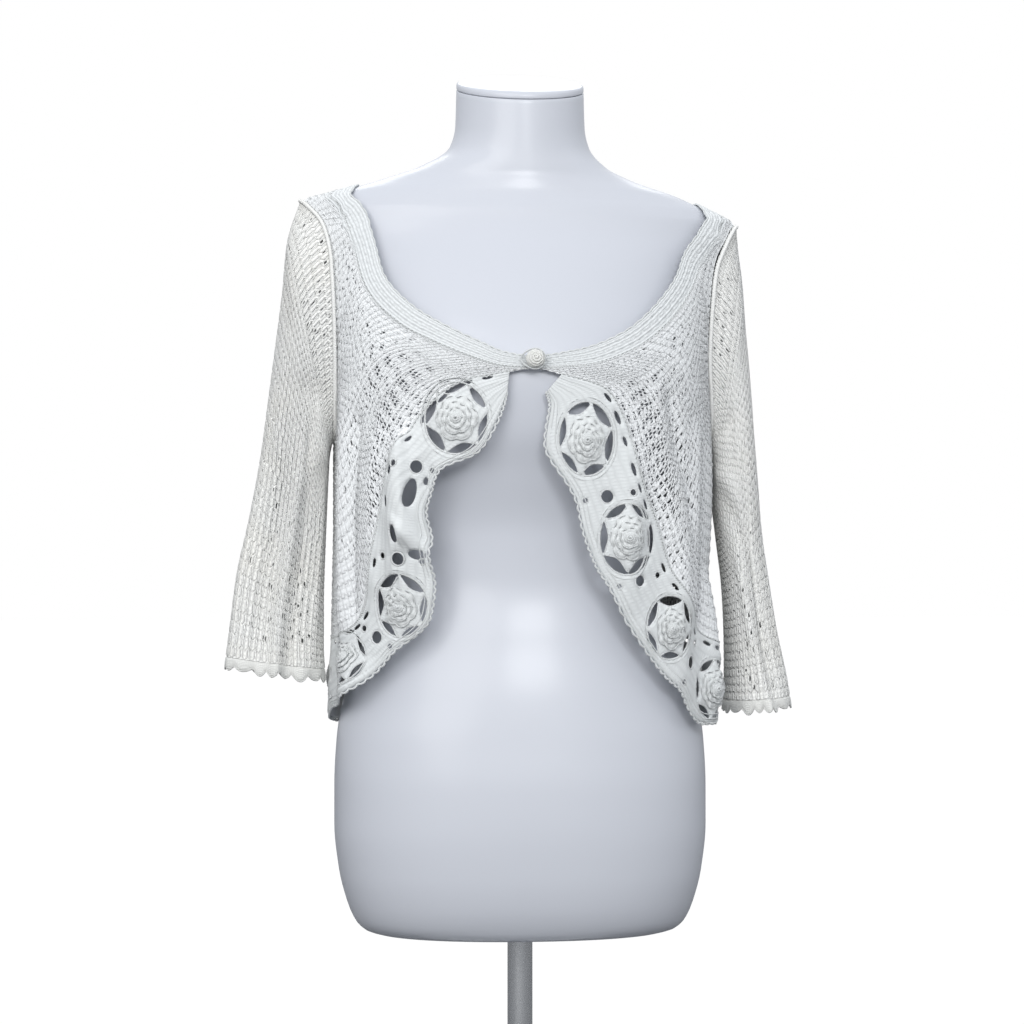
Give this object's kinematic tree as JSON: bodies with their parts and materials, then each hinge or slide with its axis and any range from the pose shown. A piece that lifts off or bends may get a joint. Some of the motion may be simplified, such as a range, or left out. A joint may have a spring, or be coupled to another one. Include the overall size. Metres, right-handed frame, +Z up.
{
  "type": "crochet bolero on dress form",
  "caption": "White openwork cotton bolero with three-quarter sleeves and a crocheted rose trim, worn by a glossy white dress form on a round stand.",
  "frame": {"origin": "centre of the stand base's underside, on the axis of the pole", "axes": "+Z up the pole, -Y towards the front of the bolero, +X towards its wearer's left (the right of the front view)"},
  "size_m": [0.5019, 0.28, 0.9578],
  "materials": {
    "cotton_body": "matte openwork knit",
    "cotton_sleeve": "matte openwork knit",
    "cotton_trim": "matte crochet",
    "cotton_button": "matte crochet",
    "form_plastic": "glossy",
    "chrome": "polished",
    "base_metal": "brushed"
  },
  "bodies": {
    "root": {"front_left": "cotton_body", "front_right": "cotton_body", "back_panel": "cotton_body", "neckband": "cotton_trim", "motif_01": "cotton_trim", "motif_02": "cotton_trim", "motif_03": "cotton_trim", "motif_04": "cotton_trim", "motif_05": "cotton_trim", "motif_06": "cotton_trim", "motif_07": "cotton_trim", "motif_08": "cotton_trim", "motif_09": "cotton_trim", "motif_10": "cotton_trim", "motif_11": "cotton_trim", "motif_12": "cotton_trim", "motif_13": "cotton_trim", "sleeve_left": "cotton_sleeve", "sleeve_right": "cotton_sleeve", "cuff_edging_left": "cotton_trim", "cuff_edging_right": "cotton_trim", "button": "cotton_button", "button_loop": "cotton_trim", "form_torso": "form_plastic", "form_neck_cap": "form_plastic", "stand_pole": "chrome", "stand_base": "base_metal"}
  },
  "joints": []
}
